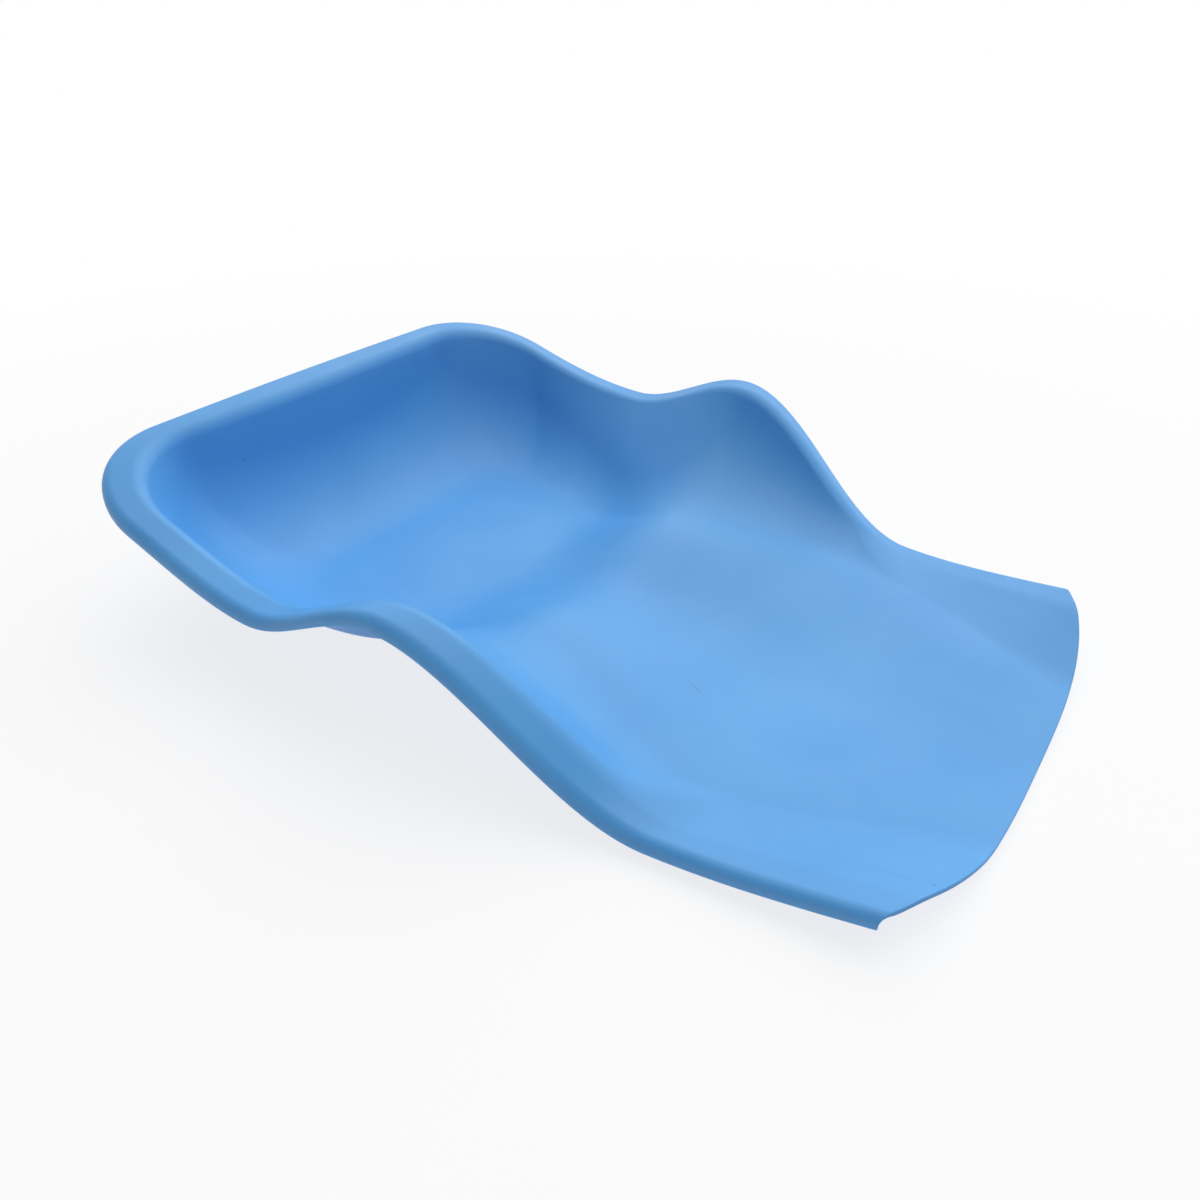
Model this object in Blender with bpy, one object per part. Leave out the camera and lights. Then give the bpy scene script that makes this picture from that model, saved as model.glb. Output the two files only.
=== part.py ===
"""Scoop tray: one moulded skin with a deep well, a chute and an open lip, standing on four bonded pads.

Metres, +Z up. +X runs from the well to the lip, and the tray is the same on both sides of Y = 0.
"""

import math
from bisect import bisect_right

import bmesh
import bpy
from mathutils import Vector
from mathutils.bvhtree import BVHTree

# Stations along the side rim: each distance runs from the station before it
BACK_TO_DIP = 0.147
DIP_TO_HUMP = 0.0852
HUMP_TO_TROUGH = 0.136
TROUGH_TO_LIP = 0.0972

# Half widths of the tray at those stations, measured to the crest of the rim
BACK_HALF_WIDTH = 0.1646
DIP_HALF_WIDTH = 0.1666
HUMP_HALF_WIDTH = 0.1632
TROUGH_HALF_WIDTH = 0.1421
LIP_HALF_WIDTH = 0.1308

# Heights of the crest above the floor beside it
BACK_WALL_HEIGHT = 0.0887
DIP_WALL_HEIGHT = 0.0556
HUMP_WALL_HEIGHT = 0.0585
TROUGH_WALL_HEIGHT = 0.0021
LIP_WALL_HEIGHT = 0.016

# How far the wall runs inwards from the crest to the floor
BACK_WALL_RUN = 0.0745
DIP_WALL_RUN = 0.0795
HUMP_WALL_RUN = 0.091
TROUGH_WALL_RUN = 0.035
LIP_WALL_RUN = 0.072

# Radii where the wall meets the floor
BACK_FILLET = 0.083
DIP_FILLET = 0.0745
HUMP_FILLET = 0.095
TROUGH_FILLET = 0.046
LIP_FILLET = 0.075

# Floor along its middle: where it rises, and how far above the floor of the well
WELL_FLOOR_END = 0.166
WELL_TO_SADDLE = 0.082
SADDLE_RISE = 0.0175
CHUTE_RISE = 0.0056
LIP_RISE = 0.006

# How far the sides of the floor stand above its middle
SADDLE_DISH = 0.0107
CHUTE_DISH = 0.005
LIP_DISH = 0.002

# Radii of the roll inside the crest: tight round the well, broad towards the lip
WELL_INNER_ROLL = 0.010
TROUGH_INNER_ROLL = 0.025
LIP_INNER_ROLL = 0.045

# The rim outside the crest: a flat land, the roll that turns down from it and the hem. Then the skin
RIM_LAND = 0.009
OUTER_ROLL = 0.006
HEM_DROP = 0.002
SKIN = 0.0022
WALL_DRAFT_DEG = 8.0

# Corners seen from above, and the bow of the lip
CREST_CORNER = 0.0587
FLOOR_CORNER = 0.035
LIP_BOW = 0.018
BOW_LENGTH = 0.236
BOW_POWER = 3.55

# The tray is drawn with its well level, then tipped towards the lip until well and chute both rest
TIP_DEG = 1.4

# Pads bonded under the floor
PAD_DIAMETER = 0.022
PAD_HEIGHT = 0.005
PAD_ROUNDING = 0.001
PAD_SEAT_GAP = 0.0003
WELL_PAD_FROM_BACK = 0.116
WELL_PAD_HALF_SPACING = 0.060
CHUTE_PAD_FROM_LIP = 0.085
CHUTE_PAD_HALF_SPACING = 0.045

# Facets along the outline, over the rim section and round a pad
SIDE_STEPS = 30
CORNER_STEPS = 6
BACK_STEPS = 3
HEM_STEPS = 5
ROLL_STEPS = 4
FILLET_STEPS = 5
FLOOR_STEPS = 3
PAD_SIDES = 24

# Places along X, measured from the crest of the back rim
DIP_AT = BACK_TO_DIP
HUMP_AT = DIP_AT + DIP_TO_HUMP
TROUGH_AT = HUMP_AT + HUMP_TO_TROUGH
LIP_AT = TROUGH_AT + TROUGH_TO_LIP
SADDLE_AT = WELL_FLOOR_END + WELL_TO_SADDLE
WELL_MIDDLE_AT = BACK_WALL_RUN + FLOOR_CORNER
RIM_PLACES = (0.0, DIP_AT, HUMP_AT, TROUGH_AT, LIP_AT)
SIDE_PLACES = (CREST_CORNER, DIP_AT, HUMP_AT, TROUGH_AT, LIP_AT)
FLOOR_PLACES = (0.0, WELL_FLOOR_END, SADDLE_AT, TROUGH_AT, LIP_AT)

# Height of the well floor when the pads stand on Z = 0
WELL_FLOOR_Z = PAD_HEIGHT + PAD_SEAT_GAP + SKIN

# Curves run straight out of their last station, or half as steep again where they curl up
STRAIGHT_OUT = 1.0
CURL_OUT = 1.5

BLUE_PLASTIC = ((0.161, 0.413, 0.807, 1.0), 0.42)
GREY_RUBBER = ((0.055, 0.058, 0.062, 1.0), 0.75)


def wave(x, places, values, first_slope=None, run_out=STRAIGHT_OUT):
    """A smooth curve through a few stations that never overshoots them."""
    rises = []
    for place, following, value, next_value in zip(places, places[1:], values, values[1:]):
        rises.append((next_value - value) / (following - place))
    slopes = [rises[0] if first_slope is None else first_slope]
    for before, after in zip(rises, rises[1:]):
        slopes.append(2 * before * after / (before + after) if before * after > 0 else 0.0)
    slopes.append(rises[-1] * run_out)
    x = min(max(x, places[0]), places[-1])
    k = min(bisect_right(places, x), len(places) - 1) - 1
    span = places[k + 1] - places[k]
    t = (x - places[k]) / span
    start = (1 + 2 * t) * (1 - t) ** 2 * values[k] + t * (1 - t) ** 2 * span * slopes[k]
    end = t * t * (3 - 2 * t) * values[k + 1] - t * t * (1 - t) * span * slopes[k + 1]
    return start + end


def crest_half_width(x):
    widths = (BACK_HALF_WIDTH, DIP_HALF_WIDTH, HUMP_HALF_WIDTH, TROUGH_HALF_WIDTH, LIP_HALF_WIDTH)
    return wave(x, SIDE_PLACES, widths, first_slope=0.0)


def floor_half_width(x):
    runs = (BACK_WALL_RUN, DIP_WALL_RUN, HUMP_WALL_RUN, TROUGH_WALL_RUN, LIP_WALL_RUN)
    return crest_half_width(x) - wave(x, SIDE_PLACES, runs, first_slope=0.0)


def floor_height(x, y):
    rises = (0.0, 0.0, SADDLE_RISE, CHUTE_RISE, LIP_RISE)
    dishes = (0.0, 0.0, SADDLE_DISH, CHUTE_DISH, LIP_DISH)
    middle = wave(x, FLOOR_PLACES, rises, first_slope=0.0, run_out=CURL_OUT)
    dish = wave(x, RIM_PLACES, dishes, first_slope=0.0)
    aside = min(1.0, abs(y) / floor_half_width(x))
    return WELL_FLOOR_Z + middle + dish * aside**2 * (3 - 2 * aside)


def crest_height(x):
    walls = (BACK_WALL_HEIGHT, DIP_WALL_HEIGHT, HUMP_WALL_HEIGHT, TROUGH_WALL_HEIGHT, LIP_WALL_HEIGHT)
    heights = []
    for place, wall in zip(RIM_PLACES, walls):
        heights.append(floor_height(place, floor_half_width(place)) + wall)
    return wave(x, RIM_PLACES, heights, run_out=CURL_OUT)


def section_radii(x):
    """Radii of the roll inside the crest and of the fillet at the foot of the wall."""
    inner = (WELL_INNER_ROLL, WELL_INNER_ROLL, WELL_INNER_ROLL, TROUGH_INNER_ROLL, LIP_INNER_ROLL)
    fillets = (BACK_FILLET, DIP_FILLET, HUMP_FILLET, TROUGH_FILLET, LIP_FILLET)
    return wave(x, RIM_PLACES, inner), wave(x, RIM_PLACES, fillets)


def bowed(x, y):
    """X of a point once the lip is bowed out: most at the middle, nothing at the crest."""
    reach = max(0.0, 1 - (LIP_AT - x) / BOW_LENGTH) ** 2
    return x + LIP_BOW * reach * (1 - (abs(y) / LIP_HALF_WIDTH) ** BOW_POWER)


def outline():
    """Crest, floor edge and middle of the floor, in step from the lip round to the middle of the back."""
    for step in range(SIDE_STEPS + 1):
        share = step / SIDE_STEPS
        crest_x = LIP_AT + share * (CREST_CORNER - LIP_AT)
        floor_x = LIP_AT + share * (WELL_MIDDLE_AT - LIP_AT)
        crest = Vector((crest_x, crest_half_width(crest_x)))
        edge = Vector((floor_x, floor_half_width(floor_x)))
        yield crest, edge, Vector((floor_x, 0.0))
    well_middle = Vector((WELL_MIDDLE_AT, 0.0))
    crest_centre = Vector((CREST_CORNER, BACK_HALF_WIDTH - CREST_CORNER))
    floor_centre = Vector((WELL_MIDDLE_AT, floor_half_width(WELL_MIDDLE_AT) - FLOOR_CORNER))
    for step in range(1, CORNER_STEPS + 1):
        turn = math.pi / 2 * step / CORNER_STEPS
        heading = Vector((-math.sin(turn), math.cos(turn)))
        yield crest_centre + CREST_CORNER * heading, floor_centre + FLOOR_CORNER * heading, well_middle
    for step in range(1, BACK_STEPS + 1):
        share = 1 - step / BACK_STEPS
        crest = Vector((0.0, crest_centre.y * share))
        yield crest, Vector((BACK_WALL_RUN, floor_centre.y * share)), well_middle


def tipped(x, y, z):
    """A point once the tray is tipped about the line of the well pads."""
    tip = math.radians(TIP_DEG)
    ahead = x - WELL_PAD_FROM_BACK
    above = z - WELL_FLOOR_Z
    along = ahead * math.cos(tip) + above * math.sin(tip)
    up = above * math.cos(tip) - ahead * math.sin(tip)
    return Vector((WELL_PAD_FROM_BACK + along, y, WELL_FLOOR_Z + up))


def arc(steps, start, end):
    """Angles from start to end, both included."""
    return [start + (end - start) * step / steps for step in range(steps + 1)]


def section(run, drop, inner, fillet):
    """Rim and wall as (inwards, down) from the crest: hem, outer roll, land, inner roll, wall and fillet."""
    steepest = min(math.radians(90 - WALL_DRAFT_DEG), 2 * math.atan2(drop, run))
    room = (run * math.sin(steepest) - drop * math.cos(steepest)) / (1 - math.cos(steepest))
    fillet = min(fillet, room - inner)
    both = inner + fillet
    straight = math.sqrt(max(0.0, run**2 + drop**2 - 2 * both * drop))
    lean = math.atan2(drop - both, run) + math.atan2(both, straight)
    points = [(-RIM_LAND - OUTER_ROLL, OUTER_ROLL + HEM_DROP)]
    for angle in arc(HEM_STEPS, math.pi / 2, 0.0):
        points.append((-RIM_LAND - OUTER_ROLL * math.sin(angle), OUTER_ROLL * (1 - math.cos(angle))))
    for angle in arc(ROLL_STEPS, 0.0, lean):
        points.append((inner * math.sin(angle), inner * (1 - math.cos(angle))))
    for angle in arc(FILLET_STEPS, lean, 0.0):
        points.append((run - fillet * math.sin(angle), drop - fillet * (1 - math.cos(angle))))
    return points


def half_skin():
    """Rows of points over the upper face of one half, one row for each station of the outline."""
    rows = []
    for crest, edge, middle in outline():
        crest_z = crest_height(crest.x)
        run = (edge - crest).length
        inwards = (edge - crest) / run
        row = []
        for along, down in section(run, crest_z - floor_height(*edge), *section_radii(crest.x)):
            place = crest + inwards * along
            row.append(tipped(bowed(*place), place.y, crest_z - down))
        for step in range(1, FLOOR_STEPS + 1):
            place = edge.lerp(middle, step / FLOOR_STEPS)
            row.append(tipped(bowed(*place), place.y, floor_height(*place)))
        rows.append(row)
    return rows


def material(name, colour, roughness):
    made = bpy.data.materials.new(name)
    made.use_nodes = True
    shader = made.node_tree.nodes["Principled BSDF"]
    shader.inputs["Base Color"].default_value = colour
    shader.inputs["Roughness"].default_value = roughness
    return made


def add_object(name, shape, finish, tray):
    mesh = bpy.data.meshes.new(name)
    shape.to_mesh(mesh)
    shape.free()
    mesh.shade_smooth()
    mesh.materials.append(finish)
    made = bpy.data.objects.new(name, mesh)
    made.parent = tray
    bpy.context.scene.collection.objects.link(made)
    return made


def dish_shell(skin_rows, tray):
    """The moulded skin: one half of the upper face, mirrored, then given its thickness downwards."""
    shape = bmesh.new()
    rows = [[shape.verts.new(point) for point in row] for row in skin_rows]
    for row, following in zip(rows, rows[1:]):
        for k in range(len(row) - 1):
            shape.faces.new((row[k], following[k], following[k + 1], row[k + 1]))
    bmesh.ops.remove_doubles(shape, verts=shape.verts, dist=1e-6)
    shell = add_object("dish_shell", shape, material("blue_plastic", *BLUE_PLASTIC), tray)
    mirror = shell.modifiers.new("other_half", "MIRROR")
    mirror.use_axis = (False, True, False)
    mirror.merge_threshold = 0.0001
    skin = shell.modifiers.new("skin", "SOLIDIFY")
    skin.thickness = SKIN
    skin.offset = -1.0
    skin.use_even_offset = True
    skin.use_quality_normals = True
    return shell


def pad(name, x, y, underside, finish, tray):
    """A round pad standing on Z = 0, its top following the skin above it."""

    def seat(place):
        hit = underside.ray_cast(Vector((x + place.x, y + place.y, 0.0)), Vector((0.0, 0.0, 1.0)))[0]
        return hit.z - PAD_SEAT_GAP

    shape = bmesh.new()
    radius = PAD_DIAMETER / 2
    foot, side, top = [], [], []
    for step in range(PAD_SIDES):
        turn = 2 * math.pi * step / PAD_SIDES
        heading = Vector((math.cos(turn), math.sin(turn), 0.0))
        place = radius * heading
        foot.append(shape.verts.new((radius - PAD_ROUNDING) * heading))
        side.append(shape.verts.new((place.x, place.y, PAD_ROUNDING)))
        top.append(shape.verts.new((place.x, place.y, seat(place))))
    crown = shape.verts.new((0.0, 0.0, seat(Vector((0.0, 0.0, 0.0)))))
    shape.faces.new(reversed(foot))
    for k in range(PAD_SIDES):
        n = (k + 1) % PAD_SIDES
        shape.faces.new((foot[k], foot[n], side[n], side[k]))
        shape.faces.new((side[k], side[n], top[n], top[k]))
        shape.faces.new((top[k], top[n], crown))
    made = add_object(name, shape, finish, tray)
    made.location = (x, y, 0.0)
    return made


def build():
    for old in list(bpy.data.objects):
        bpy.data.objects.remove(old, do_unlink=True)
    skin_rows = half_skin()
    reach = [point.x for row in skin_rows for point in row]
    tray = bpy.data.objects.new("tray", None)
    tray.location.x = -(min(reach) + max(reach)) / 2
    bpy.context.scene.collection.objects.link(tray)
    shell = dish_shell(skin_rows, tray)
    underside = BVHTree.FromObject(shell, bpy.context.evaluated_depsgraph_get())
    rubber = material("grey_rubber", *GREY_RUBBER)
    chute_pad_at = LIP_AT - CHUTE_PAD_FROM_LIP
    for side, sign in (("near", -1), ("far", 1)):
        pad(f"well_pad_{side}", WELL_PAD_FROM_BACK, sign * WELL_PAD_HALF_SPACING, underside, rubber, tray)
        pad(f"chute_pad_{side}", chute_pad_at, sign * CHUTE_PAD_HALF_SPACING, underside, rubber, tray)


build()
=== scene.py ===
# %% [markdown]
# # A scoop tray, moulded in one skin
#
# This tray is one thin sheet of light blue plastic. One end is a deep well, the other is a shallow chute
# that ends in an open, bowed lip, and a rolled rim runs round the other three sides. Nothing on it is
# screwed, hinged or glued on top, so its looks come from three things: a smooth shape, a satin surface
# and soft light. This script opens the solid model first, then lays a finer skin exactly where it is.

import math
from bisect import bisect_right

import bmesh
import bpy
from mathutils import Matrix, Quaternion, Vector
from mathutils.bvhtree import BVHTree


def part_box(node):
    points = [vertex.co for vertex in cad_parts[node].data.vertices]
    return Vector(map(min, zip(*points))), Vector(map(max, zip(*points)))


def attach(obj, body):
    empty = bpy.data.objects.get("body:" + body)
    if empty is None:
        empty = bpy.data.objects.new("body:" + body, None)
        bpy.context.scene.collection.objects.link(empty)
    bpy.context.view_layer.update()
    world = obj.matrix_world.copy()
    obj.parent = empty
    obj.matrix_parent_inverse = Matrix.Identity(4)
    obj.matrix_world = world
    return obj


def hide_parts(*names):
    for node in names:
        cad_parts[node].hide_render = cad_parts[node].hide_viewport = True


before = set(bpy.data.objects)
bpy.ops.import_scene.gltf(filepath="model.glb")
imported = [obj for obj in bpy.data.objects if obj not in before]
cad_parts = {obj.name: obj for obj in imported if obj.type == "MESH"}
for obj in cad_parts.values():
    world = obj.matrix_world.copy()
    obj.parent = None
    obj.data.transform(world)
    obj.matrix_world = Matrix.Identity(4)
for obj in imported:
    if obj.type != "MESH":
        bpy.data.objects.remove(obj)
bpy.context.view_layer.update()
print("solid pieces:", len(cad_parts))

# %% [markdown]
# ## The sizes of the tray
#
# A tray like this is drawn by a few stations along its side: the back, a dip to lift it by, a hump,
# a trough where the chute is shallow, and the lip. At each station we note how wide the tray is, how high
# its wall stands and how far the wall runs in. These are the same sizes as in the solid model, in metres,
# because the skin has to lie where the solid is.

# %% Stations along the side
BACK_TO_DIP = 0.147
DIP_TO_HUMP = 0.0852
HUMP_TO_TROUGH = 0.136
TROUGH_TO_LIP = 0.0972
CREST_CORNER = 0.0587

DIP_AT = BACK_TO_DIP
HUMP_AT = DIP_AT + DIP_TO_HUMP
TROUGH_AT = HUMP_AT + HUMP_TO_TROUGH
LIP_AT = TROUGH_AT + TROUGH_TO_LIP
RIM_PLACES = (0.0, DIP_AT, HUMP_AT, TROUGH_AT, LIP_AT)
SIDE_PLACES = (CREST_CORNER, DIP_AT, HUMP_AT, TROUGH_AT, LIP_AT)
print("stations, mm from the back:", [round(1000 * place, 1) for place in RIM_PLACES])

# %% Widths, walls, rolls and fillets at those stations
HALF_WIDTHS = (0.1646, 0.1666, 0.1632, 0.1421, 0.1308)
WALL_HEIGHTS = (0.0887, 0.0556, 0.0585, 0.0021, 0.016)
WALL_RUNS = (0.0745, 0.0795, 0.091, 0.035, 0.072)
INNER_ROLLS = (0.010, 0.010, 0.010, 0.025, 0.045)
FILLETS = (0.083, 0.0745, 0.095, 0.046, 0.075)
LIP_HALF_WIDTH = HALF_WIDTHS[-1]
print("widest crest, mm:", 2000 * max(HALF_WIDTHS))

# %% The floor, the hem, the skin and the bow
WELL_FLOOR_END = 0.166
WELL_TO_SADDLE = 0.082
SADDLE_AT = WELL_FLOOR_END + WELL_TO_SADDLE
FLOOR_PLACES = (0.0, WELL_FLOOR_END, SADDLE_AT, TROUGH_AT, LIP_AT)
FLOOR_RISES = (0.0, 0.0, 0.0175, 0.0056, 0.006)
FLOOR_DISHES = (0.0, 0.0, 0.0107, 0.005, 0.002)
FLOOR_CORNER = 0.035
RIM_LAND = 0.009
OUTER_ROLL = 0.006
HEM_DROP = 0.002
SKIN = 0.0022
WALL_DRAFT = math.radians(8.0)
LIP_BOW = 0.018
BOW_LENGTH = 0.236
BOW_POWER = 3.55
WELL_MIDDLE_AT = WALL_RUNS[0] + FLOOR_CORNER
print("saddle, mm from the back:", round(1000 * SADDLE_AT, 1))

# %% How it stands
PAD_HEIGHT = 0.005
PAD_SEAT_GAP = 0.0003
WELL_FLOOR_Z = PAD_HEIGHT + PAD_SEAT_GAP + SKIN
# The tray is tipped about a line across it, over the pads of the well
TIP = math.radians(1.4)
TIP_LINE = 0.116
print("floor of the well, mm above the table:", 1000 * WELL_FLOOR_Z)

# %% [markdown]
# ## Curves that pass through the stations
#
# The rim waves up and down, but it never swings past a station, as a loose spline would. A monotone cubic
# does this: where the stations on both sides are lower, or both higher, it runs level, and elsewhere it
# takes the harmonic mean of the two slopes. One helper gives every curve of the tray: widths, heights,
# wall runs and fillets.

# %% A curve that never overshoots
def wave(x, places, values, first_slope=None, run_out=1.0):
    rises = []
    for place, following, value, next_value in zip(places, places[1:], values, values[1:]):
        rises.append((next_value - value) / (following - place))
    slopes = [rises[0] if first_slope is None else first_slope]
    for before, after in zip(rises, rises[1:]):
        slopes.append(2 * before * after / (before + after) if before * after > 0 else 0.0)
    slopes.append(rises[-1] * run_out)
    x = min(max(x, places[0]), places[-1])
    k = min(bisect_right(places, x), len(places) - 1) - 1
    span = places[k + 1] - places[k]
    t = (x - places[k]) / span
    start = (1 + 2 * t) * (1 - t) ** 2 * values[k] + t * (1 - t) ** 2 * span * slopes[k]
    end = t * t * (3 - 2 * t) * values[k + 1] - t * t * (1 - t) * span * slopes[k + 1]
    return start + end


print("half width at the saddle, mm:", round(1000 * wave(SADDLE_AT, SIDE_PLACES, HALF_WIDTHS, 0.0), 1))

# %% The tray's own curves
CURL_OUT = 1.5


def crest_half_width(x):
    return wave(x, SIDE_PLACES, HALF_WIDTHS, first_slope=0.0)


def floor_half_width(x):
    return crest_half_width(x) - wave(x, SIDE_PLACES, WALL_RUNS, first_slope=0.0)


def floor_height(x, y):
    middle = wave(x, FLOOR_PLACES, FLOOR_RISES, first_slope=0.0, run_out=CURL_OUT)
    dish = wave(x, RIM_PLACES, FLOOR_DISHES, first_slope=0.0)
    aside = min(1.0, abs(y) / floor_half_width(x))
    return WELL_FLOOR_Z + middle + dish * aside**2 * (3 - 2 * aside)


CREST_HEIGHTS = []
for place, wall in zip(RIM_PLACES, WALL_HEIGHTS):
    CREST_HEIGHTS.append(floor_height(place, floor_half_width(place)) + wall)


def crest_height(x):
    return wave(x, RIM_PLACES, CREST_HEIGHTS, run_out=CURL_OUT)


print("crest at the stations, mm:", [round(1000 * height, 1) for height in CREST_HEIGHTS])

# %% [markdown]
# ## Bow the lip and tip the tray
#
# The lip is cut to a shallow bow, so points near it are pushed out, most in the middle. The tray is drawn
# with a level well, then tipped a little towards the lip until the well and the chute both rest.

# %% Bow and tip
def bowed(x, y):
    reach = max(0.0, 1 - (LIP_AT - x) / BOW_LENGTH) ** 2
    return x + LIP_BOW * reach * (1 - (abs(y) / LIP_HALF_WIDTH) ** BOW_POWER)


def tipped(x, y, z):
    ahead = x - TIP_LINE
    above = z - WELL_FLOOR_Z
    along = ahead * math.cos(TIP) + above * math.sin(TIP)
    up = above * math.cos(TIP) - ahead * math.sin(TIP)
    return Vector((TIP_LINE + along, y, WELL_FLOOR_Z + up))


lip_middle = tipped(bowed(LIP_AT, 0.0), 0.0, floor_height(LIP_AT, 0.0))
print("middle of the lip, mm:", [round(1000 * value, 1) for value in lip_middle])

# %% [markdown]
# ## Walk round the outline
#
# We walk half the outline, from the lip along the side, round the corner and to the middle of the back.
# Each step gives three points: the crest of the rim, the edge of the floor beside it, and the middle of
# the floor. The other half is a mirror image, so a Mirror modifier makes it later. The steps are 2 to
# 3 mm, much finer than in the solid model, so that the light runs over the wall without a facet.

# %% The outline in step
SIDE_STEPS = 170
CORNER_STEPS = 36
BACK_STEPS = 36


def outline():
    for step in range(SIDE_STEPS + 1):
        share = step / SIDE_STEPS
        crest_x = LIP_AT + share * (CREST_CORNER - LIP_AT)
        floor_x = LIP_AT + share * (WELL_MIDDLE_AT - LIP_AT)
        crest = Vector((crest_x, crest_half_width(crest_x)))
        edge = Vector((floor_x, floor_half_width(floor_x)))
        yield crest, edge, Vector((floor_x, 0.0))
    well_middle = Vector((WELL_MIDDLE_AT, 0.0))
    crest_centre = Vector((CREST_CORNER, HALF_WIDTHS[0] - CREST_CORNER))
    floor_centre = Vector((WELL_MIDDLE_AT, floor_half_width(WELL_MIDDLE_AT) - FLOOR_CORNER))
    for step in range(1, CORNER_STEPS + 1):
        turn = math.pi / 2 * step / CORNER_STEPS
        heading = Vector((-math.sin(turn), math.cos(turn)))
        yield crest_centre + CREST_CORNER * heading, floor_centre + FLOOR_CORNER * heading, well_middle
    for step in range(1, BACK_STEPS + 1):
        share = 1 - step / BACK_STEPS
        crest = Vector((0.0, crest_centre.y * share))
        yield crest, Vector((WALL_RUNS[0], floor_centre.y * share)), well_middle


print("steps round half the tray:", len(list(outline())))

# %% [markdown]
# ## The section of the rim and wall
#
# At each step we draw the section from outside to inside: the short hem, the outer roll, the flat land on
# top of the rim, the inner roll, a straight wall and the fillet into the floor. Rolls and fillet are arcs
# and the straight parts are their tangents, so the section has no kink. The fillet gives way where the
# wall is too steep for it, as a mould maker would do to keep the draft that lets the tray come out of its
# mould.

# %% One section, as distances inwards and down from the crest
HEM_STEPS = 12
LAND_STEPS = 4
ROLL_STEPS = 12
WALL_STEPS = 6
FILLET_STEPS = 18


def arc(steps, start, end):
    return [start + (end - start) * step / steps for step in range(steps + 1)]


def section(run, drop, inner, fillet):
    steepest = min(math.pi / 2 - WALL_DRAFT, 2 * math.atan2(drop, run))
    room = (run * math.sin(steepest) - drop * math.cos(steepest)) / (1 - math.cos(steepest))
    fillet = min(fillet, room - inner)
    both = inner + fillet
    straight = math.sqrt(max(0.0, run**2 + drop**2 - 2 * both * drop))
    lean = math.atan2(drop - both, run) + math.atan2(both, straight)
    points = [(-RIM_LAND - OUTER_ROLL, OUTER_ROLL + HEM_DROP)]
    for angle in arc(HEM_STEPS, math.pi / 2, 0.0):
        points.append((-RIM_LAND - OUTER_ROLL * math.sin(angle), OUTER_ROLL * (1 - math.cos(angle))))
    for step in range(1, LAND_STEPS):
        points.append((-RIM_LAND * (1 - step / LAND_STEPS), 0.0))
    for angle in arc(ROLL_STEPS, 0.0, lean):
        points.append((inner * math.sin(angle), inner * (1 - math.cos(angle))))
    wall_top = points[-1]
    for step in range(1, WALL_STEPS):
        down_wall = straight * step / WALL_STEPS
        points.append((wall_top[0] + down_wall * math.cos(lean), wall_top[1] + down_wall * math.sin(lean)))
    for angle in arc(FILLET_STEPS, lean, 0.0):
        points.append((run - fillet * math.sin(angle), drop - fillet * (1 - math.cos(angle))))
    return points


back_section = section(WALL_RUNS[0], WALL_HEIGHTS[0], INNER_ROLLS[0], FILLETS[0])
print("points in the section of the back wall:", len(back_section))

# %% [markdown]
# ## Lay the upper face
#
# Now every step of the outline gets its section, and the floor is filled in towards the middle. The rows
# of points become a grid of faces. The skin slides along X until its back hem lies on the solid's.

# %% Rows of points over half the upper face
FLOOR_STEPS = 18


def half_face():
    rows = []
    for crest, edge, middle in outline():
        crest_z = crest_height(crest.x)
        run = (edge - crest).length
        inwards = (edge - crest) / run
        radii = [wave(crest.x, RIM_PLACES, values) for values in (INNER_ROLLS, FILLETS)]
        row = []
        for along, down in section(run, crest_z - floor_height(*edge), *radii):
            place = crest + inwards * along
            row.append(tipped(bowed(*place), place.y, crest_z - down))
        for step in range(1, FLOOR_STEPS + 1):
            place = edge.lerp(middle, step / FLOOR_STEPS)
            row.append(tipped(bowed(*place), place.y, floor_height(*place)))
        rows.append(row)
    return rows


skin_rows = half_face()
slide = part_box("dish_shell")[0][0] - min(point.x for row in skin_rows for point in row)
for row in skin_rows:
    for point in row:
        point.x += slide
print("rows:", len(skin_rows), "points in a row:", len(skin_rows[0]), "slide, mm:", round(1000 * slide, 2))

# %% Sew the rows into a mesh
def sewn(name, rows):
    shape = bmesh.new()
    corners = [[shape.verts.new(point) for point in row] for row in rows]
    for row, following in zip(corners, corners[1:]):
        for k in range(len(row) - 1):
            shape.faces.new((row[k], following[k], following[k + 1], row[k + 1]))
    bmesh.ops.remove_doubles(shape, verts=shape.verts, dist=1e-6)
    mesh = bpy.data.meshes.new(name)
    shape.to_mesh(mesh)
    shape.free()
    mesh.shade_smooth()
    return mesh


tray = bpy.data.objects.new("moulded_tray", sewn("moulded_tray", skin_rows))
bpy.context.scene.collection.objects.link(tray)
print("faces in half the upper face:", len(tray.data.polygons))

# %% [markdown]
# ## Give the skin its thickness
#
# Four modifiers finish the shape. Mirror makes the other half, Solidify gives the sheet its thickness
# downwards, a small Bevel breaks the two edges of the cut, as a maker does with a scraper, and Weighted
# Normal keeps the shading of the broad faces even beside them. Solidify also gives the cut face its own
# material slot, because a trimmed edge is drier than the skin and its darker blue is painted shade.

# %% Mirror, thickness and broken edges
BROKEN_EDGE = 0.0006

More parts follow.
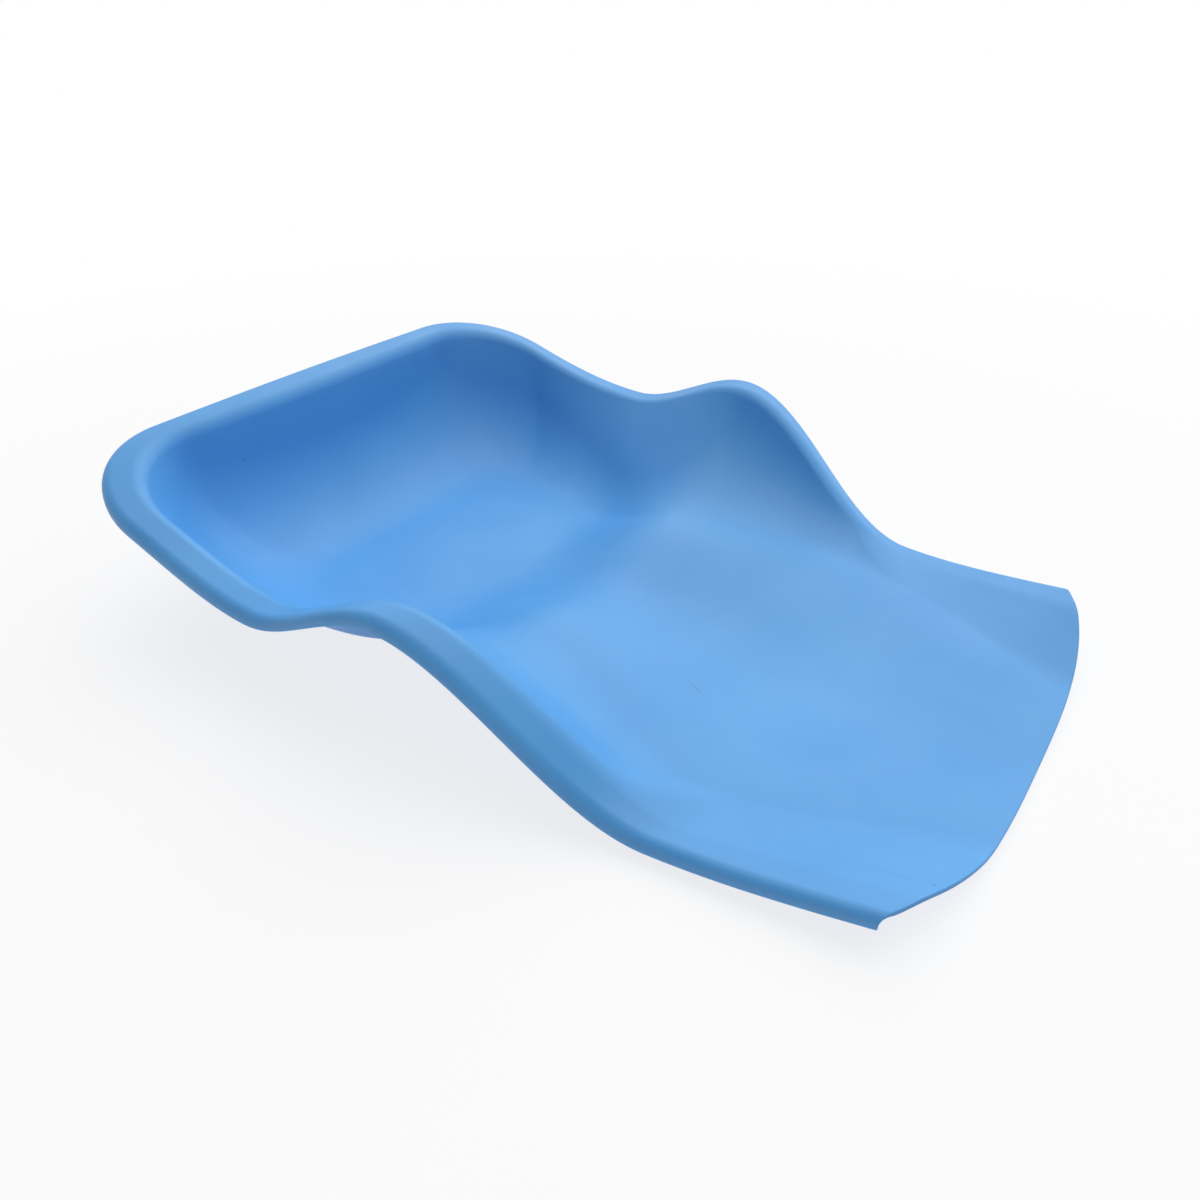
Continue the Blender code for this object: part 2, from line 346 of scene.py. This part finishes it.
mirror = tray.modifiers.new("other_half", "MIRROR")
mirror.use_axis = (False, True, False)
mirror.merge_threshold = 0.00005
thickness = tray.modifiers.new("thickness", "SOLIDIFY")
thickness.thickness = SKIN
thickness.offset = -1.0
thickness.use_even_offset = True
thickness.use_quality_normals = True
thickness.material_offset_rim = 1
broken = tray.modifiers.new("broken_edges", "BEVEL")
broken.width = BROKEN_EDGE
broken.segments = 3
broken.limit_method = "ANGLE"
broken.angle_limit = math.radians(50)
evened = tray.modifiers.new("evened_normals", "WEIGHTED_NORMAL")
evened.keep_sharp = False
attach(tray, "root")
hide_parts("dish_shell")
finished_skin = tray.evaluated_get(bpy.context.evaluated_depsgraph_get())
print("finished skin, mm:", [round(1000 * side, 1) for side in finished_skin.dimensions])

# %% [markdown]
# ## Tools for the materials
#
# Colours are written as sRGB hex, as a paint chart gives them, and one function turns them to the linear
# values that Blender works in. Patterns are written in millimetres: a noise whose Scale is 1 has features
# about 1 m wide here, so a feature of so many millimetres needs 1000 divided by that. A third helper adds
# one node with its settings and links, whatever kind of node it is.

# %% Colour, pattern size and node helpers
def linear(hex_colour):
    values = []
    for k in (0, 2, 4):
        value = int(hex_colour[k : k + 2], 16) / 255
        values.append(value / 12.92 if value <= 0.04045 else ((value + 0.055) / 1.055) ** 2.4)
    return (*values, 1.0)


def per_mm(feature_mm):
    return 1000.0 / feature_mm


def node(tree, kind, settings=None, **sockets):
    made = tree.nodes.new(kind)
    for name, value in (settings or {}).items():
        setattr(made, name, value)
    for name, value in sockets.items():
        key = int(name[1:]) if name[0] == "_" else name.replace("_", " ")
        if isinstance(value, bpy.types.NodeSocket):
            tree.links.new(value, made.inputs[key])
        else:
            made.inputs[key].default_value = value
    return made


def new_material(name):
    made = bpy.data.materials.new(name)
    made.use_nodes = True
    return made, made.node_tree, made.node_tree.nodes["Principled BSDF"]


print("a light blue, linear:", [round(v, 3) for v in linear("70ACE8")[:3]])

# %% [markdown]
# ## Moulded polypropylene, satin
#
# Trays like this are polypropylene, coloured right through. The mould is blasted with fine grit, which
# leaves a pebbled skin that spreads the highlight, so the eye sees a soft satin and no sharp reflection.
# We build that from four layers: a cloudy unevenness of colour from the flow of the melt, a fine pebble
# as bump, patches that are polished smoother by hands and cleaning, and a few small marks of use together
# with a darker line of painted shade along a crease.

# %% The plain skin
BLUE_PALE = "59A9EC"
BLUE_DEEP = "53A2E6"
FLOW_CLOUD_MM = 90
POLYPROPYLENE_IOR = 1.49

plastic, tree, shader = new_material("polypropylene_satin_moulded")
where = node(tree, "ShaderNodeTexCoord").outputs["Object"]
flow_clouds = node(
    tree, "ShaderNodeTexNoise", Vector=where, Scale=per_mm(FLOW_CLOUD_MM), Detail=3.0, Roughness=0.55
).outputs["Fac"]
melt_colour = node(tree, "ShaderNodeValToRGB", Fac=flow_clouds)
melt_colour.color_ramp.elements[0].position = 0.3
melt_colour.color_ramp.elements[0].color = linear(BLUE_DEEP)
melt_colour.color_ramp.elements[1].position = 0.7
melt_colour.color_ramp.elements[1].color = linear(BLUE_PALE)
shader.inputs["IOR"].default_value = POLYPROPYLENE_IOR
print("plain skin:", plastic.name)

# %% [markdown]
# The tray has been used. There are four dark specks and two short scratches in the chute. Along the foot
# of the near wall of the chute, where its slope changes, a darker line runs out at the near corner of the
# lip, in a weaker and a stronger stretch: that line is the painted shade of a crease. Each mark is an
# ellipsoid in space: the Mapping node squeezes it to a unit ball, and the distance from its middle fades
# the mark out. We only choose its place in plan, and a ray that looks straight down finds the skin there.
# A round speck starts and ends at the same point.

# %% Specks, scratches and the painted shade of a crease
# Specks and scratches are real wear; the crease line drawn in this colour is painted shade.
WEAR_AND_CREASE_SHADE_COLOUR = "3A70B0"
# A mark is full out to this share of its half width, and gone at its edge
MARK_CORE = 0.4
LOOK_DOWN_FROM = 0.2
# Start and end in mm along X and Y, half the width in mm, and how strong the mark is
WEAR_MARKS_AND_CREASE_SHADE = (
    ((-222, -72), (-222, -72), 1.1, 0.6),
    ((232.5, -114.5), (233.5, -114.5), 0.6, 1.0),
    ((-5, -175), (-5, -175), 0.6, 0.8),
    ((82.5, -50.5), (95.5, -56), 0.5, 0.5),
    ((64, -42.5), (77, -47.5), 0.4, 0.25),
    ((104.5, -48.5), (104.5, -48.5), 0.6, 0.5),
    # The last two rows are the crease: a darker line of painted shade where the wall's slope changes.
    ((177, -116.5), (205.5, -117), 0.6, 0.12),
    ((205.5, -117), (232.5, -115), 0.6, 0.25),
)
skin = BVHTree.FromObject(tray, bpy.context.evaluated_depsgraph_get())


def on_skin(x_mm, y_mm):
    above = Vector((x_mm / 1000, y_mm / 1000, LOOK_DOWN_FROM))
    return skin.ray_cast(above, Vector((0.0, 0.0, -1.0)))[0]


def mark(start, end, half_wide_mm, strength):
    first, last = on_skin(*start), on_skin(*end)
    along = last - first
    half_wide = half_wide_mm / 1000
    half_long = along.length / 2 + half_wide
    half_deep = abs(along.z) + half_wide
    local = node(tree, "ShaderNodeMapping", {"vector_type": "TEXTURE"}, Vector=where)
    local.inputs["Location"].default_value = (first + last) / 2
    local.inputs["Rotation"].default_value = (0.0, 0.0, math.atan2(along.y, along.x))
    local.inputs["Scale"].default_value = (half_long, half_wide, half_deep)
    away = node(tree, "ShaderNodeVectorMath", {"operation": "LENGTH"}, _0=local.outputs["Vector"])
    faded = node(tree, "ShaderNodeMapRange", Value=away.outputs["Value"], From_Min=1.0, From_Max=MARK_CORE)
    faded.inputs["To Max"].default_value = strength
    return faded.outputs["Result"]


wear_and_crease_shade = mark(*WEAR_MARKS_AND_CREASE_SHADE[0])
for further in WEAR_MARKS_AND_CREASE_SHADE[1:]:
    wear_and_crease_shade = node(tree, "ShaderNodeMath", {"operation": "MAXIMUM"}, _0=wear_and_crease_shade, _1=mark(*further)).outputs[0]
skin_colour = node(tree, "ShaderNodeMix", {"data_type": "RGBA"}, _0=wear_and_crease_shade, _7=linear(WEAR_AND_CREASE_SHADE_COLOUR))
tree.links.new(melt_colour.outputs["Color"], skin_colour.inputs[6])
tree.links.new(skin_colour.outputs[2], shader.inputs["Base Color"])
print("marks:", len(WEAR_MARKS_AND_CREASE_SHADE))

# %% The blasted pebble and the polished patches
# Real pebbles are about 0.15 mm. They are drawn this wide, or they would not show at this distance.
PEBBLE_MM = 0.9
HANDLED_PATCH_MM = 45
ROUGHNESS_AS_BLASTED = 0.50
ROUGHNESS_AS_HANDLED = 0.42

pebble = node(
    tree, "ShaderNodeTexNoise", Vector=where, Scale=per_mm(PEBBLE_MM), Detail=2.0, Roughness=0.6
).outputs["Fac"]
pebble_bump = node(tree, "ShaderNodeBump", Strength=0.05, Distance=0.0004, Height=pebble)
tree.links.new(pebble_bump.outputs["Normal"], shader.inputs["Normal"])
handled = node(
    tree, "ShaderNodeTexNoise", Vector=where, Scale=per_mm(HANDLED_PATCH_MM), Detail=4.0, Roughness=0.6
).outputs["Fac"]
satin = node(tree, "ShaderNodeMapRange", Value=handled, From_Min=0.35, From_Max=0.65)
satin.inputs["To Min"].default_value = ROUGHNESS_AS_BLASTED
satin.inputs["To Max"].default_value = ROUGHNESS_AS_HANDLED
tree.links.new(satin.outputs["Result"], shader.inputs["Roughness"])
print("nodes in the skin:", len(tree.nodes))

# %% [markdown]
# ## The trimmed edge
#
# The lip and the hem are cut after moulding. A knife or router leaves fine lines across the thickness and
# a drier face than the mould does. At the lip the cut shows as a thin line, darker than the skin because
# it faces down into shade: its deeper blues are painted shade, and its roughness is higher.

# %% Trimmed edge, with its darker blues as painted shade
# Both blues are darker than the skin's as painted shade, because the cut faces down.
CUT_SHADE_DEEP = "4F93D6"
CUT_SHADE_PALE = "5A9CDC"
CUT_ROUGHNESS = 0.6

trimmed, tree, shader = new_material("polypropylene_trimmed_edge_shaded")
where = node(tree, "ShaderNodeTexCoord").outputs["Object"]
cut_lines = node(
    tree, "ShaderNodeTexNoise", Vector=where, Scale=per_mm(1.2), Detail=3.0, Roughness=0.7
).outputs["Fac"]
cut_shade_colour = node(tree, "ShaderNodeValToRGB", Fac=cut_lines)
cut_shade_colour.color_ramp.elements[0].position = 0.3
cut_shade_colour.color_ramp.elements[0].color = linear(CUT_SHADE_DEEP)
cut_shade_colour.color_ramp.elements[1].position = 0.7
cut_shade_colour.color_ramp.elements[1].color = linear(CUT_SHADE_PALE)
tree.links.new(cut_shade_colour.outputs["Color"], shader.inputs["Base Color"])
cut_bump = node(tree, "ShaderNodeBump", Strength=0.25, Distance=0.0003, Height=cut_lines)
tree.links.new(cut_bump.outputs["Normal"], shader.inputs["Normal"])
shader.inputs["Roughness"].default_value = CUT_ROUGHNESS
shader.inputs["IOR"].default_value = POLYPROPYLENE_IOR
tray.data.materials.append(plastic)
tray.data.materials.append(trimmed)
print("materials on the tray:", [slot.name for slot in tray.material_slots])

# %% [markdown]
# ## Rubber pads
#
# Four round pads are bonded under the floor, out of sight from above. Each is turned like a button: a flat
# foot with a shallow ring groove for grip, a rounded edge, a straight side and a top that follows the skin.
# The places come from the solid pads, so each new pad lies on its own solid.

# %% Pad material: black-filled rubber, moulded, which looks matt and a little dusty
RUBBER_DARK = "3B3D40"
RUBBER_BLOOM = "4A4C4F"
RUBBER_ROUGHNESS = 0.75
RUBBER_IOR = 1.52

rubber, tree, shader = new_material("nitrile_rubber_moulded")
where = node(tree, "ShaderNodeTexCoord").outputs["Object"]
bloom = node(
    tree, "ShaderNodeTexNoise", Vector=where, Scale=per_mm(6), Detail=4.0, Roughness=0.6
).outputs["Fac"]
bloom_colour = node(tree, "ShaderNodeValToRGB", Fac=bloom)
bloom_colour.color_ramp.elements[0].position = 0.35
bloom_colour.color_ramp.elements[0].color = linear(RUBBER_DARK)
bloom_colour.color_ramp.elements[1].position = 0.7
bloom_colour.color_ramp.elements[1].color = linear(RUBBER_BLOOM)
tree.links.new(bloom_colour.outputs["Color"], shader.inputs["Base Color"])
grit = node(tree, "ShaderNodeTexNoise", Vector=where, Scale=per_mm(0.7), Detail=2.0).outputs["Fac"]
grit_bump = node(tree, "ShaderNodeBump", Strength=0.2, Distance=0.0003, Height=grit)
tree.links.new(grit_bump.outputs["Normal"], shader.inputs["Normal"])
shader.inputs["Roughness"].default_value = RUBBER_ROUGHNESS
shader.inputs["IOR"].default_value = RUBBER_IOR
print("pad material:", rubber.name)

# %% Turn one pad
PAD_SIDES = 72
PAD_EDGE = 0.001
PAD_EDGE_STEPS = 5
GROOVE_AT = 0.0062
GROOVE_WIDE = 0.0016
GROOVE_DEEP = 0.0006


def seat_height(x, y):
    hit = skin.ray_cast(Vector((x, y, 0.0)), Vector((0.0, 0.0, 1.0)))[0]
    return hit.z - PAD_SEAT_GAP


def foot_profile(radius):
    points = [(0.0, 0.0)]
    for across, up in ((-1.0, 0.0), (-0.6, 0.8), (0.0, 1.0), (0.6, 0.8), (1.0, 0.0)):
        points.append((GROOVE_AT + across * GROOVE_WIDE / 2, up * GROOVE_DEEP))
    for angle in arc(PAD_EDGE_STEPS, 0.0, math.pi / 2):
        points.append((radius - PAD_EDGE * (1 - math.sin(angle)), PAD_EDGE * (1 - math.cos(angle))))
    return points


pad_low, pad_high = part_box("well_pad_near")
print("points from the middle of a foot to its side:", len(foot_profile((pad_high[0] - pad_low[0]) / 2)))

# %% [markdown]
# A pad's profile is spun by hand, ring by ring, because its top isn't level: each ring's last point is
# found by looking straight up from the table until the ray meets the underside of the tray.

# %% Make the four pads
TOP_EDGE = 0.0005


def turned_pad(solid_name):
    low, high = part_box(solid_name)
    centre_x, centre_y = (low[0] + high[0]) / 2, (low[1] + high[1]) / 2
    radius = (high[0] - low[0]) / 2
    shape = bmesh.new()
    rings = []
    for step in range(PAD_SIDES):
        turn = 2 * math.pi * step / PAD_SIDES
        ring = []
        for out, up in foot_profile(radius)[1:]:
            x, y = centre_x + out * math.cos(turn), centre_y + out * math.sin(turn)
            ring.append(shape.verts.new((x, y, up)))
        for out, below in ((radius, TOP_EDGE), (radius - TOP_EDGE, 0.0), (radius / 2, 0.0)):
            x, y = centre_x + out * math.cos(turn), centre_y + out * math.sin(turn)
            ring.append(shape.verts.new((x, y, seat_height(x, y) - below)))
        rings.append(ring)
    foot = shape.verts.new((centre_x, centre_y, 0.0))
    crown = shape.verts.new((centre_x, centre_y, seat_height(centre_x, centre_y)))
    for ring, following in zip(rings, rings[1:] + rings[:1]):
        shape.faces.new((foot, following[0], ring[0]))
        for k in range(len(ring) - 1):
            shape.faces.new((ring[k], following[k], following[k + 1], ring[k + 1]))
        shape.faces.new((ring[-1], following[-1], crown))
    bmesh.ops.recalc_face_normals(shape, faces=shape.faces)
    mesh = bpy.data.meshes.new("turned_" + solid_name)
    shape.to_mesh(mesh)
    shape.free()
    mesh.shade_smooth()
    mesh.set_sharp_from_angle(angle=math.radians(45))
    mesh.materials.append(rubber)
    pad = bpy.data.objects.new("turned_" + solid_name, mesh)
    bpy.context.scene.collection.objects.link(pad)
    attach(pad, "root")
    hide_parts(solid_name)
    return pad


for solid_name in ("well_pad_near", "well_pad_far", "chute_pad_near", "chute_pad_far"):
    pad = turned_pad(solid_name)
    print(pad.name, "faces:", len(pad.data.polygons))

# %% [markdown]
# ## Floor and backdrop
#
# The tray stands on a white table that runs out of the picture. A camera ray sees the table mostly as
# plain white, with a share of real diffuse shading left in so that the tray keeps its soft shadow. To the
# light that bounces towards the tray, the table also glows a little, like the lit opal tables on which
# goods are photographed. That lifts the underside of the rim, which is not black in the photograph.

# %% Rays that show the white
def seen_rays(tree):
    rays = node(tree, "ShaderNodeLightPath").outputs
    direct = node(tree, "ShaderNodeMath", {"operation": "MAXIMUM"})
    tree.links.new(rays["Is Camera Ray"], direct.inputs[0])
    tree.links.new(rays["Is Glossy Ray"], direct.inputs[1])
    shown = node(tree, "ShaderNodeMath", {"operation": "MAXIMUM"}, _0=direct.outputs[0])
    tree.links.new(rays["Is Transmission Ray"], shown.inputs[1])
    return shown.outputs[0]


print("plain white is shown to camera, glossy and transmission rays")

# %% A white table
TABLE_HALF = 20.0
TABLE_WHITE = "F4F4F4"
TABLE_ROUGHNESS = 0.9
TABLE_GLOW = 0.25
# Plain white takes this share of what is seen as far as SHADOW_REACH, and all of it from PLAIN_FROM
SHARE_NEAR_TRAY = 0.8
SHADOW_REACH = 0.35
PLAIN_FROM = 0.9

table_mesh = bpy.data.meshes.new("white_table")
corners = [(TABLE_HALF * x, TABLE_HALF * y, 0.0) for x, y in ((-1, -1), (1, -1), (1, 1), (-1, 1))]
table_mesh.from_pydata(corners, [], [(0, 1, 2, 3)])
table = bpy.data.objects.new("white_table", table_mesh)
bpy.context.scene.collection.objects.link(table)

paper, tree, shader = new_material("white_paper_sweep")
shader.inputs["Base Color"].default_value = linear(TABLE_WHITE)
shader.inputs["Roughness"].default_value = TABLE_ROUGHNESS
seen = seen_rays(tree)
place = node(tree, "ShaderNodeTexCoord").outputs["Object"]
away = node(tree, "ShaderNodeVectorMath", {"operation": "LENGTH"}, _0=place).outputs["Value"]
whiteness = node(tree, "ShaderNodeMapRange", Value=away, From_Min=SHADOW_REACH, From_Max=PLAIN_FROM)
whiteness.inputs["To Min"].default_value = SHARE_NEAR_TRAY
share = node(tree, "ShaderNodeMath", {"operation": "MULTIPLY"}, _0=seen, _1=whiteness.outputs[0])
white = node(tree, "ShaderNodeEmission", Strength=1.0)
paper_seen = node(
    tree, "ShaderNodeMixShader", _0=share.outputs[0], _1=shader.outputs["BSDF"], _2=white.outputs[0]
)
from_below = node(tree, "ShaderNodeMapRange", Value=seen, To_Min=TABLE_GLOW, To_Max=0.0)
glow = node(tree, "ShaderNodeEmission", Strength=from_below.outputs[0])
lit_table = node(tree, "ShaderNodeAddShader", _0=paper_seen.outputs[0], _1=glow.outputs[0])
tree.links.new(lit_table.outputs[0], tree.nodes["Material Output"].inputs["Surface"])
table.data.materials.append(paper)
print("table, m:", 2 * TABLE_HALF)

# %% [markdown]
# ## Light
#
# The photograph has the soft light of an open sky: it comes mostly from above and from behind the far
# side, so the far walls, which face the camera, are in shade. Two soft patches of sky in the world give
# most of it, one overhead and one beyond the far side. Three faint lamps add the rest: a broad one beyond
# the far side, one to the left for the sheen on the floor, and a small one over the lip. The world is
# plain white to the camera and to reflections.

# %% World
# Each patch of sky has a level and a tilt along X, Y and Z, and is dark where their sum falls below zero
OVERHEAD_SKY = (-4.89, (0.0, 1.49, 6.80))
FAR_SKY = (-0.60, (0.0, 0.90, 0.90))

world = bpy.data.worlds.new("overcast")
bpy.context.scene.world = world
world.use_nodes = True
tree = world.node_tree
heading = node(tree, "ShaderNodeTexCoord").outputs["Generated"]


def sky_patch(level, tilt):
    leaning = node(tree, "ShaderNodeVectorMath", {"operation": "DOT_PRODUCT"}, _0=heading, _1=tilt)
    bright = node(tree, "ShaderNodeMath", {"operation": "ADD"}, _0=leaning.outputs["Value"], _1=level)
    return node(tree, "ShaderNodeMath", {"operation": "MAXIMUM"}, _0=bright.outputs[0], _1=0.0).outputs[0]


sky = node(
    tree, "ShaderNodeMath", {"operation": "ADD"}, _0=sky_patch(*OVERHEAD_SKY), _1=sky_patch(*FAR_SKY)
)
level = node(tree, "ShaderNodeMapRange", Value=seen_rays(tree), To_Min=sky.outputs[0], To_Max=1.0)
backdrop = tree.nodes["Background"]
backdrop.inputs["Color"].default_value = (1.0, 1.0, 1.0, 1.0)
tree.links.new(level.outputs[0], backdrop.inputs["Strength"])
print("sky straight up:", round(OVERHEAD_SKY[0] + OVERHEAD_SKY[1][2] + FAR_SKY[0] + FAR_SKY[1][2], 2))

# %% Lamps
def soft_lamp(name, place, aim, side, watts):
    light = bpy.data.lights.new(name, "AREA")
    light.shape = "DISK"
    light.size = side
    light.energy = watts
    lamp = bpy.data.objects.new(name, light)
    lamp.location = place
    lamp.rotation_euler = (Vector(aim) - Vector(place)).to_track_quat("-Z", "Y").to_euler()
    bpy.context.scene.collection.objects.link(lamp)
    return lamp


TRAY_MIDDLE = (0.0, 0.0, 0.04)
CHUTE_MIDDLE = (0.2, 0.0, 0.01)
# Place and aim in metres, width in metres, watts
LAMPS = {
    "far_lamp": ((0.0, 1.64, 1.15), TRAY_MIDDLE, 1.6, 4.7),
    "sheen_lamp": ((-0.77, 1.14, 1.16), TRAY_MIDDLE, 0.9, 2.3),
    "lip_lamp": ((0.50, 0.10, 0.60), CHUTE_MIDDLE, 0.5, 0.48),
}
for name, settings in LAMPS.items():
    soft_lamp(name, *settings)
print("lamps:", [item.name for item in bpy.data.lights])

# %% [markdown]
# ## Camera
#
# The photograph was taken from close by, over the near side of the lip, with a moderately wide lens. The
# wide lens is what makes the chute look broad and the well far away.

# %% Camera
CAMERA_AT = Vector((0.2766, -0.4159, 0.3272))
CAMERA_AIM = Vector((0.0330, -0.0570, 0.05))
CAMERA_ROLL = math.radians(0.33)

lens = bpy.data.cameras.new("photo_camera")
lens.sensor_width = 36.0
lens.lens = 30.0
lens.clip_start = 0.01
camera = bpy.data.objects.new("photo_camera", lens)
camera.location = CAMERA_AT
turned = (CAMERA_AIM - CAMERA_AT).to_track_quat("-Z", "Y") @ Quaternion((0.0, 0.0, 1.0), CAMERA_ROLL)
camera.rotation_euler = turned.to_euler()
bpy.context.scene.collection.objects.link(camera)
bpy.context.scene.camera = camera
bpy.context.scene.view_settings.view_transform = "Standard"
print("camera to the tray, mm:", round(1000 * (CAMERA_AIM - CAMERA_AT).length))
